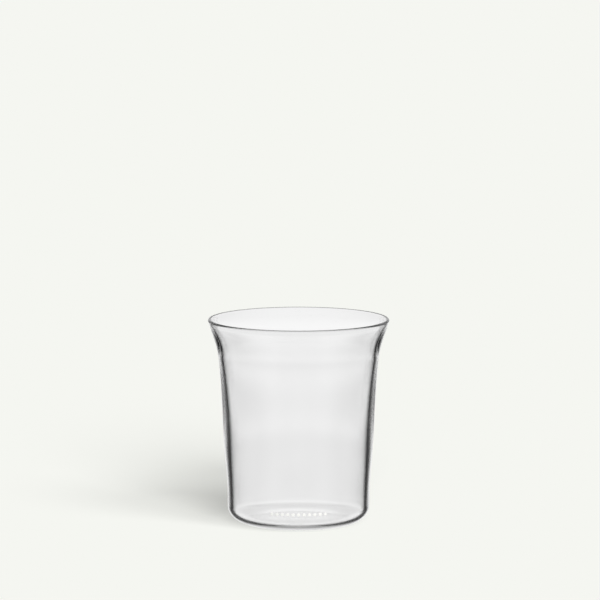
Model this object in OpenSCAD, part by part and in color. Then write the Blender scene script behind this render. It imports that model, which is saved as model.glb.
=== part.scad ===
// Small heat-resistant glass for a cortado: one blown piece with a rounded base, a side that
// opens slowly upwards, a flared lip and a row of small enamel dots fired on near the base.
// The origin is the centre of the foot on the table, +Z is up, and -Y is the side with the dots.

/* [Rim and height] */
// Outside diameter of the rim, in mm
rim_d = 70; // [66:0.5:78]
// Height of the glass from the table to the top of the rim
height = 79.6; // [76:0.1:96]
// Thickness of the rounded edge of the rim
lip_t = 1.3; // [1:0.1:1.8]
// Lean of the side at the rim, in degrees from upright
lip_lean = 17.5; // [12:0.5:26]
// Distance from the top of the rim down to the neck, the thin place just under the rim
neck_drop = 2.6; // [2:0.1:4]
// Thickness of the side at the neck
neck_t = 1.2; // [1:0.1:1.6]

/* [Side] */
// Outside diameter of the shoulder, where the flare begins
shoulder_d = 62; // [60:0.2:64]
// Height of the flare, from the shoulder up to the top of the rim
flare_h = 14.6; // [11.6:0.1:21.6]
// Lean of the side at the shoulder, in degrees from upright
shoulder_lean = 7; // [4:0.5:9]
// Thickness of the side at the shoulder
shoulder_t = 1.7; // [1.4:0.1:2.6]
// Outside diameter of the waist, a third of the way up the side
waist_d = 57.7; // [56:0.1:60]
// Height of the waist
waist_z = 32; // [26:0.5:40]
// Lean of the side at the waist, in degrees from upright
waist_lean = 3.4; // [1:0.2:5]
// Thickness of the side at the waist, where it is thickest
waist_t = 2.5; // [1.8:0.1:3]

/* [Base] */
// Outside diameter of the upright band above the base corner
band_d = 54.8; // [50:0.2:57]
// Height at which the upright band ends and the side begins to open
band_top = 10.1; // [9:0.1:16]
// Thickness of the side at the band
band_t = 1.9; // [1.4:0.1:2.6]
// Height of the rounded outside corner
corner_h = 6.7; // [4:0.1:8]
// Outside diameter of the flat ring that the glass stands on
foot_d = 36; // [32:0.2:44]
// Diameter of the shallow hollow under the base
hollow_d = 29.6; // [16:0.2:30.4]
// Depth of that hollow
hollow_h = 0.3; // [0.2:0.1:1]
// Height of the edge of the inside floor above the table
floor_z = 1.5; // [1.3:0.1:3]
// Diameter of the inside floor
floor_d = 35.2; // [28:0.2:40]
// How much higher the inside floor is in its middle than at its edge
floor_rise = 0.4; // [0:0.1:1]
// Height of the rounded inside corner
inside_corner_h = 5; // [4:0.1:6]

/* [Enamel dots] */
// Diameter of one dot
dot_d = 1.3; // [0.8:0.1:1.5]
// Distance from one dot to the next, measured round the glass
dot_pitch = 2.1; // [1.7:0.1:2.6]
// How many dots the row has
dot_count = 11; // [3:2:23]
// Distance from the top of the base corner up to the lowest point of the dots
dot_gap = 0.1; // [0:0.1:0.6]
// Thickness of the enamel
enamel_t = 0.12; // [0.08:0.01:0.3]

/* [Hidden] */

// Steps along each curve of the outline
corner_steps = 12;
side_steps = 12;
lip_steps = 10;

lip_r = lip_t / 2;
band_r = band_d / 2;
foot_r = foot_d / 2;
hollow_r = hollow_d / 2;
floor_r = floor_d / 2;
shoulder_z = height - flare_h;
dot_z = corner_h + dot_gap + dot_d / 2;
full_turn = 360;
quarter_turn = 90;
half_turn = 180;

// Centre of the rounded rim edge in the outline
lip_centre = [rim_d / 2 - lip_r, height - lip_r];

// One station of the side: its height, outside radius, slope and thickness
function station(z, d, lean, t) = [z, d / 2, tan(lean), t];

// Smooth curve between two stations at share t of the way: radius, height and slope
function side_point(a, b, t) =
    let (
        rise = b[0] - a[0],
        chord = b[1] - a[1],
        start = rise * a[2],
        end = rise * b[2],
        bend = 3 * chord - 2 * start - end,
        twist = start + end - 2 * chord
    )
    [
        a[1] + start * t + bend * t * t + twist * t * t * t,
        a[0] + rise * t,
        (start + 2 * bend * t + 3 * twist * t * t) / rise
    ];

// The shoulder, and the end of the side at the rim
shoulder = station(shoulder_z, shoulder_d, shoulder_lean, shoulder_t);
rim = [
    lip_centre.y - lip_r * sin(lip_lean),
    lip_centre.x + lip_r * cos(lip_lean),
    tan(lip_lean),
    lip_t
];

// The neck lies on the curve from the shoulder to the rim
neck_point = side_point(shoulder, rim, (height - neck_drop - shoulder[0]) / (rim[0] - shoulder[0]));
neck = [neck_point[1], neck_point[0], neck_point[2], neck_t];

// The stations that the outside passes through, from the band up to the rim
stations = [
    station(band_top, band_d, 0, band_t),
    station(waist_z, waist_d, waist_lean, waist_t),
    shoulder,
    neck,
    rim
];

// A share that leaves one end and meets the other without a bend
function eased(t) = t * t * (3 - 2 * t);

// Thickness of the glass at share t of the way between two stations
function side_t(a, b, t) = a[3] + (b[3] - a[3]) * eased(t);

// Points of the outside from the band to the rim, each with its slope and thickness
side_rows = [
    for (i = [0 : len(stations) - 2])
        for (k = [(i == 0 ? 0 : 1) : side_steps])
            concat(
                side_point(stations[i], stations[i + 1], k / side_steps),
                side_t(stations[i], stations[i + 1], k / side_steps)
            )
];

side_outline = [for (row = side_rows) [row[0], row[1]]];

// The inside runs parallel to the outside, one thickness away square to the wall
inside_outline = [
    for (k = [len(side_rows) - 1 : -1 : 0])
        let (row = side_rows[k], lean = atan(row[2]))
        [row[0] - row[3] * cos(lean), row[1] + row[3] * sin(lean)]
];

// The outside corner is a quarter of an ellipse from the foot ring to the band
corner_outline = [
    for (k = [0 : corner_steps])
        let (turn = quarter_turn * k / corner_steps)
        [foot_r + (band_r - foot_r) * sin(turn), corner_h * (1 - cos(turn))]
];

// The rim edge is round, from the end of the outside to the start of the inside
lip_outline = [
    for (k = [1 : lip_steps - 1])
        let (turn = half_turn * k / lip_steps - lip_lean)
        lip_centre + lip_r * [cos(turn), sin(turn)]
];

// The inside corner is a quarter of an ellipse from the side to the floor
inside_corner_outline = [
    for (k = [0 : corner_steps])
        let (turn = quarter_turn * (1 - k / corner_steps))
        [
            floor_r + (band_r - band_t - floor_r) * sin(turn),
            floor_z + inside_corner_h * (1 - cos(turn))
        ]
];

// The hollow under the base, from its middle out to the foot ring
hollow_outline = [
    for (k = [0 : corner_steps])
        [hollow_r * k / corner_steps, hollow_h * (1 - eased(k / corner_steps))]
];

// The inside floor, from its edge to its middle
floor_outline = [
    for (k = [corner_steps - 1 : -1 : 0])
        [floor_r * k / corner_steps, floor_z + floor_rise * (1 - eased(k / corner_steps))]
];

glass_outline = concat(
    hollow_outline,
    corner_outline,
    side_outline,
    lip_outline,
    inside_outline,
    inside_corner_outline,
    floor_outline
);

// Direction of one dot, so that the middle of the row faces -Y
function dot_turn(i) = (i - (dot_count - 1) / 2) * dot_pitch / band_r * half_turn / PI;

// The whole glass, turned from its outline
module glass_body() {
    color("whitesmoke", 0.4)
        rotate_extrude(angle = full_turn, $fn = 180)
            polygon(glass_outline);
}

// A skin of enamel round the band, out of which the dots are cut
module enamel_skin() {
    translate([0, 0, dot_z - dot_d])
        difference() {
            cylinder(h = 2 * dot_d, r = band_r + enamel_t, $fn = 180);
            translate([0, 0, -dot_d])
                cylinder(h = 4 * dot_d, r = band_r, $fn = 180);
        }
}

// One round dot on the front of the band
module enamel_dot() {
    intersection() {
        enamel_skin();
        translate([0, 0, dot_z])
            rotate([quarter_turn, 0, 0])
                cylinder(h = band_r + 2 * enamel_t, d = dot_d, $fn = 48);
    }
}

// The row of dots fired onto the band
module enamel_dots() {
    color("white")
        for (i = [0 : dot_count - 1])
            rotate([0, 0, dot_turn(i)])
                enamel_dot();
}

glass_body();
enamel_dots();
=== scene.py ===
import math

import bmesh
import bpy
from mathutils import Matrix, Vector


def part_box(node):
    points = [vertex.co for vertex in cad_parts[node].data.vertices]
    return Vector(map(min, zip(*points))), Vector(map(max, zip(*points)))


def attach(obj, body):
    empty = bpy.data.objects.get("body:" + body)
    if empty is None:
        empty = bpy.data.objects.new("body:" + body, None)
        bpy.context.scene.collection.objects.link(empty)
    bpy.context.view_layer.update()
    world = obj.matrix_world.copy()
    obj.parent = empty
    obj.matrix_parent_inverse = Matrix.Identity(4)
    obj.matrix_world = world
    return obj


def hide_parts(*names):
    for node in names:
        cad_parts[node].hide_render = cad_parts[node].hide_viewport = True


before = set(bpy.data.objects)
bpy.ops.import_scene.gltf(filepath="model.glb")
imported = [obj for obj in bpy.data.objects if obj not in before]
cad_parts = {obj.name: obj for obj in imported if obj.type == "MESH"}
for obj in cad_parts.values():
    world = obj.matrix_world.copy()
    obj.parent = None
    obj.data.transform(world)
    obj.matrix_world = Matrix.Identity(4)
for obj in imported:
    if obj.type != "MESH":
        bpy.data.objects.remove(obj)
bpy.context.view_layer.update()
foot_corner, rim_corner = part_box("glass_body")
rim_radius = (rim_corner.x - foot_corner.x) / 2
glass_height = rim_corner.z


# The camera stands far off with a long lens, a little above the rim, so the mouth is a flat ellipse.
# The glass stands just left of the middle and in the lower half of the square picture.
camera_distance = 2.4
camera_height = 0.4065
camera_side = 0.00055
camera_pitch = math.radians(7.587)
camera_lens = 376.8

camera_data = bpy.data.cameras.new("camera")
camera_data.lens = camera_lens
camera_data.sensor_width = 36
camera_data.clip_end = 60
camera = bpy.data.objects.new("camera", camera_data)
camera.location = (camera_side, -camera_distance, camera_height)
camera.rotation_euler = (math.pi / 2 - camera_pitch, 0, 0)
bpy.context.scene.collection.objects.link(camera)
bpy.context.scene.camera = camera


# The glass is one piece of clear heat-resistant glass, blown in a mould and turned true.
# Its rim is melted to a round bead, and its wall is thinnest at the neck just under that.
# It stands on a narrow flat ring round a shallow hollow.
lip_thickness = 0.0013
lip_lean = math.radians(17.5)
lip_radius = lip_thickness / 2
lip_centre = (rim_radius - lip_radius, glass_height - lip_radius)
band_radius = 0.0274
band_top = 0.0101
corner_height = 0.0067
foot_radius = 0.018
hollow_radius = 0.0148
hollow_depth = 0.0003
floor_height = 0.0015
floor_rise = 0.0004
floor_radius = 0.0176
inside_corner_height = 0.005
neck_drop = 0.0026


def eased(share):
    return share * share * (3 - 2 * share)


def side_point(low, high, share):
    """Radius, height and slope on the smooth curve between two stations of the side."""
    rise = high[0] - low[0]
    chord = high[1] - low[1]
    start, end = rise * low[2], rise * high[2]
    bend = 3 * chord - 2 * start - end
    twist = start + end - 2 * chord
    radius = low[1] + start * share + bend * share**2 + twist * share**3
    slope = (start + 2 * bend * share + 3 * twist * share**2) / rise
    return radius, low[0] + rise * share, slope


# Each station of the side has its height, outside radius, slope and wall thickness
shoulder = (0.065, 0.031, math.tan(math.radians(7)), 0.0017)
rim = (
    lip_centre[1] - lip_radius * math.sin(lip_lean),
    lip_centre[0] + lip_radius * math.cos(lip_lean),
    math.tan(lip_lean),
    lip_thickness,
)
neck_share = (glass_height - neck_drop - shoulder[0]) / (rim[0] - shoulder[0])
neck_radius, neck_height, neck_slope = side_point(shoulder, rim, neck_share)
side_stations = [
    (band_top, band_radius, 0.0, 0.0019),
    (0.032, 0.02885, math.tan(math.radians(3.4)), 0.0025),
    shoulder,
    (neck_height, neck_radius, neck_slope, 0.0012),
    rim,
]


def side_rows(steps):
    """Radius, height, lean and wall thickness of the outside, from the band up to the rim."""
    rows = []
    for i, (low, high) in enumerate(zip(side_stations, side_stations[1:])):
        for k in range(0 if i == 0 else 1, steps + 1):
            share = k / steps
            radius, height, slope = side_point(low, high, share)
            thickness = low[3] + (high[3] - low[3]) * eased(share)
            rows.append((radius, height, math.atan(slope), thickness))
    return rows


def quarter_turns(steps):
    return [math.pi / 2 * k / steps for k in range(steps + 1)]


def glass_outline():
    """The cut face of the glass, from the middle of the hollow round the outside and down the inside."""
    points = [(hollow_radius * k / 20, hollow_depth * (1 - eased(k / 20))) for k in range(21)]
    points += [
        (foot_radius + (band_radius - foot_radius) * math.sin(a), corner_height * (1 - math.cos(a)))
        for a in quarter_turns(40)
    ]
    rows = side_rows(40)
    points += [(radius, height) for radius, height, lean, thickness in rows]
    for k in range(1, 16):
        a = math.pi * k / 16 - lip_lean
        radius = lip_centre[0] + lip_radius * math.cos(a)
        points.append((radius, lip_centre[1] + lip_radius * math.sin(a)))
    for radius, height, lean, thickness in reversed(rows):
        points.append((radius - thickness * math.cos(lean), height + thickness * math.sin(lean)))
    inside_radius = band_radius - side_stations[0][3]
    points += [
        (
            floor_radius + (inside_radius - floor_radius) * math.sin(a),
            floor_height + inside_corner_height * (1 - math.cos(a)),
        )
        for a in reversed(quarter_turns(40))
    ]
    points += [
        (floor_radius * k / 20, floor_height + floor_rise * (1 - eased(k / 20)))
        for k in range(19, -1, -1)
    ]
    return points


def turned(name, outline, around):
    """A closed mesh turned about Z from an outline that starts and ends on the axis."""
    mesh = bmesh.new()
    first = mesh.verts.new((0, 0, outline[0][1]))
    last = mesh.verts.new((0, 0, outline[-1][1]))
    rings = []
    for radius, height in outline[1:-1]:
        ring = []
        for k in range(around):
            a = 2 * math.pi * k / around
            ring.append(mesh.verts.new((radius * math.cos(a), radius * math.sin(a), height)))
        rings.append(ring)
    for low, high in zip(rings, rings[1:]):
        for k in range(around):
            n = (k + 1) % around
            mesh.faces.new((low[k], low[n], high[n], high[k]))
    for k in range(around):
        n = (k + 1) % around
        mesh.faces.new((first, rings[0][n], rings[0][k]))
        mesh.faces.new((last, rings[-1][k], rings[-1][n]))
    bmesh.ops.remove_doubles(mesh, verts=mesh.verts, dist=1e-6)
    bmesh.ops.recalc_face_normals(mesh, faces=mesh.faces)
    for face in mesh.faces:
        face.smooth = True
    data = bpy.data.meshes.new(name)
    mesh.to_mesh(data)
    mesh.free()
    piece = bpy.data.objects.new(name, data)
    bpy.context.scene.collection.objects.link(piece)
    return piece


def clear_glass():
    material = bpy.data.materials.new("clear_glass")
    material.use_nodes = True
    nodes, links = material.node_tree.nodes, material.node_tree.links
    glass = nodes["Principled BSDF"]
    glass.inputs["Base Color"].default_value = (0.95, 0.95, 0.95, 1)
    glass.inputs["Roughness"].default_value = 0
    glass.inputs["IOR"].default_value = 1.47
    glass.inputs["Transmission Weight"].default_value = 1
    # The side of the glass holds back some of the lamps' light, and the round base lets it through
    height = nodes.new("ShaderNodeSeparateXYZ")
    links.new(nodes.new("ShaderNodeNewGeometry").outputs["Position"], height.inputs["Vector"])
    let_through = nodes.new("ShaderNodeMapRange")
    let_through.interpolation_type = "SMOOTHSTEP"
    links.new(height.outputs["Z"], let_through.inputs["Value"])
    let_through.inputs["From Min"].default_value = 0.006
    let_through.inputs["From Max"].default_value = 0.014
    let_through.inputs["To Min"].default_value = 0.96
    let_through.inputs["To Max"].default_value = 0.55
    clear = nodes.new("ShaderNodeBsdfTransparent")
    links.new(let_through.outputs["Result"], clear.inputs["Color"])
    path = nodes.new("ShaderNodeLightPath")
    mix = nodes.new("ShaderNodeMixShader")
    links.new(path.outputs["Is Shadow Ray"], mix.inputs["Fac"])
    links.new(glass.outputs["BSDF"], mix.inputs[1])
    links.new(clear.outputs["BSDF"], mix.inputs[2])
    links.new(mix.outputs["Shader"], nodes["Material Output"].inputs["Surface"])
    return material


glass = turned("glass", glass_outline(), 200)
glass.visible_diffuse = False
glass.data.materials.append(clear_glass())
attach(glass, "root")
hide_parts("glass_body")


# The mark is a row of small round dots of white enamel, printed on the front of the band and fired on.
# Each dot is a skin a little over a tenth of a millimetre thick with a soft edge.
dot_radius = 0.00065
dot_pitch = 0.0021
dot_count = 11
dot_height = corner_height + 0.0001 + dot_radius
enamel_thickness = 0.00012
enamel_sink = 0.00002
# Share of the dot's radius and height above the glass, from its foot in the glass to its top
dot_section = [
    (1.0, -enamel_sink),
    (1.0, 0.4 * enamel_thickness),
    (0.95, 0.8 * enamel_thickness),
    (0.85, enamel_thickness),
    (0.45, enamel_thickness),
]


def dot_mesh(mesh, turn):
    """Adds one closed dot to the mesh, at a turn about Z from the front."""
    around = 32
    rings = []
    for share, lift in dot_section:
        ring = []
        for k in range(around):
            a = 2 * math.pi * k / around
            side = dot_radius * share * math.cos(a)
            rise = dot_radius * share * math.sin(a)
            r = band_radius + lift
            t = turn + side / band_radius
            ring.append(mesh.verts.new((r * math.sin(t), -r * math.cos(t), dot_height + rise)))
        rings.append(ring)
    for low, high in zip(rings, rings[1:]):
        for k in range(around):
            n = (k + 1) % around
            mesh.faces.new((low[k], low[n], high[n], high[k]))
    top = band_radius + enamel_thickness
    middle = mesh.verts.new((top * math.sin(turn), -top * math.cos(turn), dot_height))
    back = band_radius - enamel_sink
    behind = mesh.verts.new((back * math.sin(turn), -back * math.cos(turn), dot_height))
    for k in range(around):
        n = (k + 1) % around
        mesh.faces.new((middle, rings[-1][k], rings[-1][n]))
        mesh.faces.new((behind, rings[0][n], rings[0][k]))


def white_enamel():
    material = bpy.data.materials.new("white_enamel")
    material.use_nodes = True
    enamel = material.node_tree.nodes["Principled BSDF"]
    enamel.inputs["Base Color"].default_value = (0.93, 0.93, 0.91, 1)
    enamel.inputs["Roughness"].default_value = 0.35
    return material


dots_mesh = bmesh.new()
for i in range(dot_count):
    dot_mesh(dots_mesh, (i - (dot_count - 1) / 2) * dot_pitch / band_radius)
bmesh.ops.recalc_face_normals(dots_mesh, faces=dots_mesh.faces)
for face in dots_mesh.faces:
    face.smooth = True
dots_data = bpy.data.meshes.new("dots")
dots_mesh.to_mesh(dots_data)
dots_mesh.free()
dots = bpy.data.objects.new("dots", dots_data)
bpy.context.scene.collection.objects.link(dots)
dots.data.materials.append(white_enamel())
dots.visible_diffuse = False
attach(dots, "root")
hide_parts("enamel_dots")


# The table is a wide sheet of matt pale card that carries the soft shadow of the glass to the left.
# The glass is lit by cards of its own, so the table isn't seen in it or through it. The lamps are kept
# low for the enamel's sake, and the camera sees the table at its full brightness all the same.
table_half = 12
light_level = 0.7
pale = (0.913, 0.922, 0.880, 1)
pale_to_the_eye = tuple(value / light_level for value in pale[:3]) + (1,)

table_data = bpy.data.meshes.new("table")
table_data.from_pydata(
    [
        (-table_half, -table_half, 0),
        (table_half, -table_half, 0),
        (table_half, table_half, 0),
        (-table_half, table_half, 0),
    ],
    [],
    [(0, 1, 2, 3)],
)
table = bpy.data.objects.new("table", table_data)
bpy.context.scene.collection.objects.link(table)
table_look = bpy.data.materials.new("pale_table")
table_look.use_nodes = True
nodes, links = table_look.node_tree.nodes, table_look.node_tree.links
nodes.remove(nodes["Principled BSDF"])
matte = nodes.new("ShaderNodeBsdfDiffuse")
matte.inputs["Color"].default_value = pale
seen = nodes.new("ShaderNodeBsdfDiffuse")
seen.inputs["Color"].default_value = pale_to_the_eye
path = nodes.new("ShaderNodeLightPath")
matte_or_seen = nodes.new("ShaderNodeMixShader")
links.new(path.outputs["Is Camera Ray"], matte_or_seen.inputs["Fac"])
links.new(matte.outputs["BSDF"], matte_or_seen.inputs[1])
links.new(seen.outputs["BSDF"], matte_or_seen.inputs[2])
links.new(matte_or_seen.outputs["Shader"], nodes["Material Output"].inputs["Surface"])
table.data.materials.append(table_look)
table.visible_transmission = False
table.visible_glossy = False


# Two large soft lamps stand at the front and to the right. Each gives its share of the light on the
# table, and the room gives the rest. A lamp has its turn, rise and spread in degrees, and its share.
lamps = [
    ("side_lamp", 40, 44, 25, 0.205),
    ("front_lamp", 12, 27, 26, 0.336),
]
room_light = light_level * (1 - sum(share for name, turn, rise, spread, share in lamps))

for name, turn, rise, spread, share in lamps:
    turn, rise = math.radians(turn), math.radians(rise)
    lamp_data = bpy.data.lights.new(name, "SUN")
    lamp_data.energy = light_level * share * math.pi / math.sin(rise)
    lamp_data.angle = math.radians(spread)
    lamp = bpy.data.objects.new(name, lamp_data)
    towards = Vector((
        math.sin(turn) * math.cos(rise),
        -math.cos(turn) * math.cos(rise),
        math.sin(rise),
    ))
    lamp.rotation_euler = towards.to_track_quat("Z", "Y").to_euler()
    lamp.visible_glossy = False
    lamp.visible_transmission = False
    bpy.context.scene.collection.objects.link(lamp)


# The room round the glass is a pale backdrop behind it, a black card on each side of that, which draws
# its edges dark, and bright side walls. Its light is of one colour and depends on direction alone. The
# camera itself sees nothing of it but the pale of the table.
world = bpy.data.worlds.new("studio")
bpy.context.scene.world = world
world.use_nodes = True
world.cycles.sampling_method = "NONE"
nodes, links = world.node_tree.nodes, world.node_tree.links
background = nodes["Background"]
split = nodes.new("ShaderNodeSeparateXYZ")
links.new(nodes.new("ShaderNodeTexCoord").outputs["Generated"], split.inputs["Vector"])


def connect(socket, value):
    if isinstance(value, (int, float)):
        socket.default_value = value
    else:
        links.new(value, socket)


def combine(operation, *values):
    node = nodes.new("ShaderNodeMath")
    node.operation = operation
    for socket, value in zip(node.inputs, values):
        connect(socket, value)
    return node.outputs["Value"]


def fade(value, low, high, start, end):
    """Goes smoothly from start to end while the value goes from low to high."""
    node = nodes.new("ShaderNodeMapRange")
    node.interpolation_type = "SMOOTHSTEP"
    for name, item in (
        ("Value", value),
        ("From Min", low),
        ("From Max", high),
        ("To Min", start),
        ("To Max", end),
    ):
        connect(node.inputs[name], item)
    return node.outputs["Result"]


def degrees(value):
    return combine("MULTIPLY", value, 180 / math.pi)


# Directions are in degrees: how far one is turned away from straight behind the glass, and its height
turned_away = degrees(combine("ABSOLUTE", combine("ARCTAN2", split.outputs["X"], split.outputs["Y"])))
height_angle = degrees(combine("ARCSINE", split.outputs["Z"]))

# The backdrop ends in the black cards, sooner low down, and it is a little brighter in its middle
backdrop_edge = fade(height_angle, -21, -16.5, 20, 29)
backdrop = fade(turned_away, 10.7, backdrop_edge, 0.995, 0)
backdrop = combine("MULTIPLY", backdrop, fade(turned_away, 7.5, 14.8, 0.93, 1))
backdrop = combine("MULTIPLY", backdrop, fade(turned_away, 0, 3.4, 1.1, 1))
backdrop = combine("MULTIPLY", backdrop, fade(height_angle, -10.5, -8.2, 1, 0.907))

# It gets duller downwards towards the foot of the glass: painted shade, standing for the glass's own
# shade on the table there
low_sides = fade(turned_away, 4, 13, 0.82, 0.48)
painted_low_shade = fade(height_angle, -28, -16.5, low_sides, 1)
painted_low_shade = fade(height_angle, -41, -32.5, 0.41, painted_low_shade)
backdrop = combine("MULTIPLY", backdrop, painted_low_shade)

# A soft dark band crosses the middle of the backdrop and shades the glass just above its floor
band = combine("MULTIPLY", fade(height_angle, -17, -13.5, 0, 1), fade(height_angle, -12, -9.5, 1, 0))
band = combine("MULTIPLY", band, fade(turned_away, 2, 12, 0.19, 0))
backdrop = combine("MULTIPLY", backdrop, combine("SUBTRACT", 1, band))

# The side walls begin beyond the cards, nearer and brighter low down, and are duller at the front
wall_edge = fade(height_angle, -17.5, -13, 47.5, 57)
wall_light = fade(height_angle, -17.5, -13, 1, 0.55)
wall_light = fade(turned_away, 58, 98, wall_light, 0.93)
wall_light = combine("MULTIPLY", wall_light, fade(turned_away, 132, 165, 1, 0.7))
wall = fade(turned_away, 39.5, wall_edge, 0, wall_light)

# The ground right under the glass is painted dark, a painted shade standing for the glass's own shadow
# on the table, and the room above the backdrop is bright at its sides
painted_ground_shade = fade(height_angle, -80, -57, 0.47, 0.05)
above = fade(height_angle, -2.7, 5.4, 0, fade(turned_away, 8, 32, 0.5, 1.1))
studio = combine("MAXIMUM", combine("MAXIMUM", combine("ADD", backdrop, wall), painted_ground_shade), above)

# Rays that have met the glass see the studio, and the rest see an even room in the pale of the table
path = nodes.new("ShaderNodeLightPath")
by_glass = combine("MAXIMUM", path.outputs["Is Transmission Ray"], path.outputs["Is Glossy Ray"])
by_eye = path.outputs["Is Camera Ray"]
room = combine("ADD", combine("MULTIPLY", by_eye, 1 - room_light), room_light)
room_or_studio = nodes.new("ShaderNodeMix")
room_or_studio.data_type = "FLOAT"
links.new(by_glass, room_or_studio.inputs["Factor"])
links.new(room, room_or_studio.inputs["A"])
links.new(studio, room_or_studio.inputs["B"])
links.new(room_or_studio.outputs["Result"], background.inputs["Strength"])
tint = nodes.new("ShaderNodeMix")
tint.data_type = "RGBA"
links.new(by_eye, tint.inputs["Factor"])
tint.inputs["A"].default_value = (1, 1, 1, 1)
tint.inputs["B"].default_value = pale
links.new(tint.outputs["Result"], background.inputs["Color"])

bpy.context.scene.view_settings.view_transform = "Standard"
